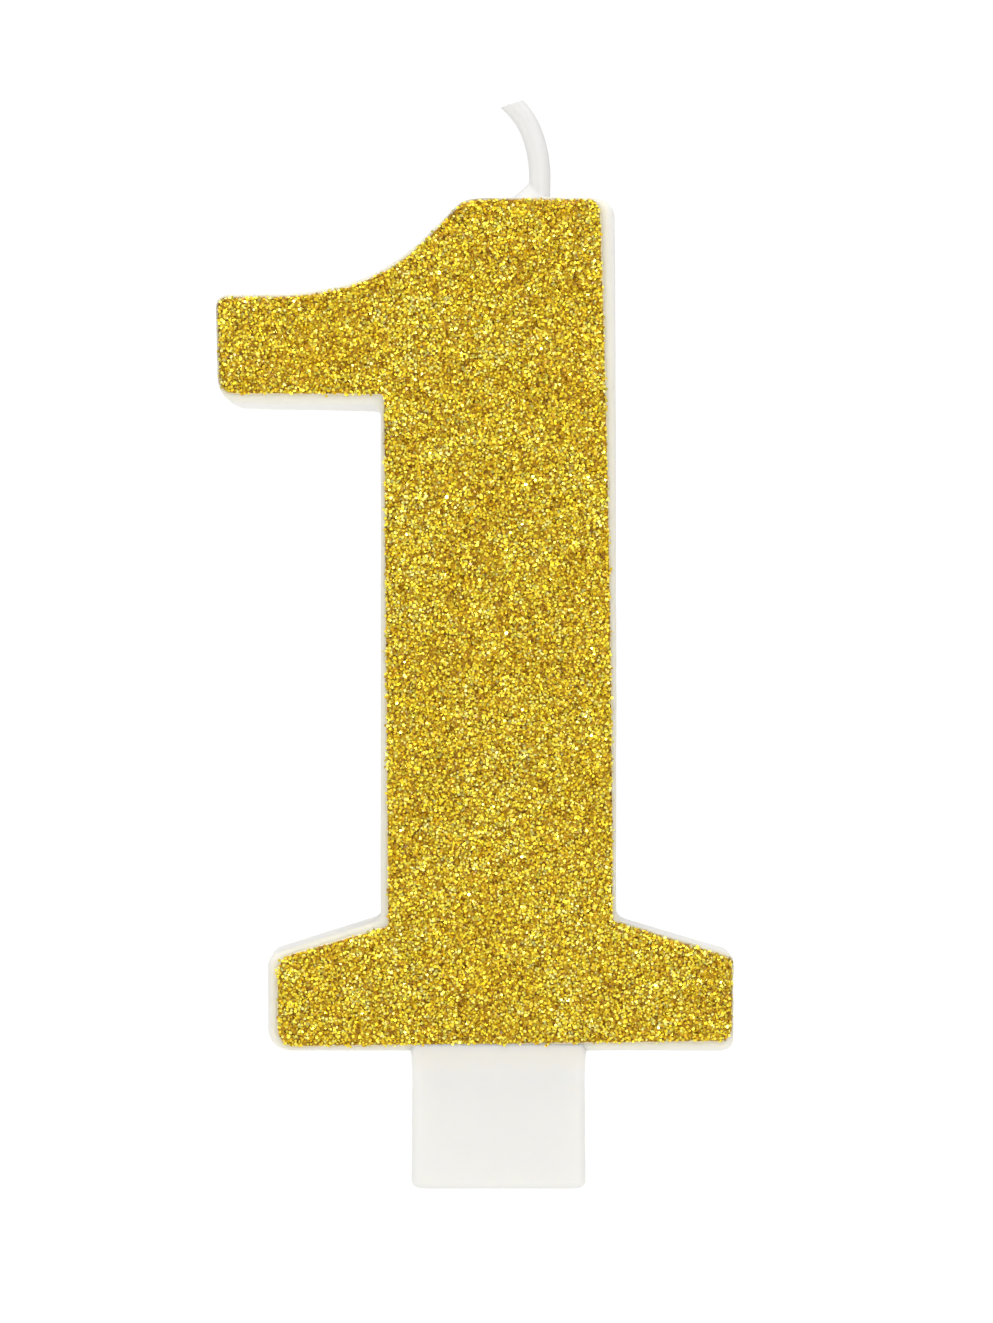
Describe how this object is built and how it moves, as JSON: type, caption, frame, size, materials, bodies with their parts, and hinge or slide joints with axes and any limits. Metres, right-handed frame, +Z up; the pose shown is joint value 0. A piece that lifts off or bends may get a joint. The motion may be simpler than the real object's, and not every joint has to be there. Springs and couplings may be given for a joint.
{
  "type": "number birthday candle",
  "caption": "Upright candle shaped as the numeral one, with a gold glitter face, a bent waxed wick on top and a flat tab below that goes into a cake.",
  "frame": {"origin": "middle of the seam where the cake tab leaves the foot, which is where the cake's surface meets the candle", "axes": "+Z up along the stem, -Y out of the glitter face, -X towards the tip of the numeral's arm"},
  "size_m": [0.0432, 0.0104, 0.0913],
  "materials": {
    "wax": "satin white paraffin wax, slightly translucent",
    "tab_plastic": "smooth matt white",
    "cotton": "braided cotton soaked with wax",
    "wick_wax": "thin translucent wax",
    "glue": "clear glossy glue, tinted by the glitter",
    "gold_glitter": "loose sparkling gold flakes"
  },
  "bodies": {
    "root": {"numeral_body": "wax", "cake_tab": "tab_plastic", "wick_cord": "cotton", "wick_wax_coat": "wick_wax", "glue_coat": "glue", "glitter_coat": "gold_glitter"}
  },
  "joints": []
}
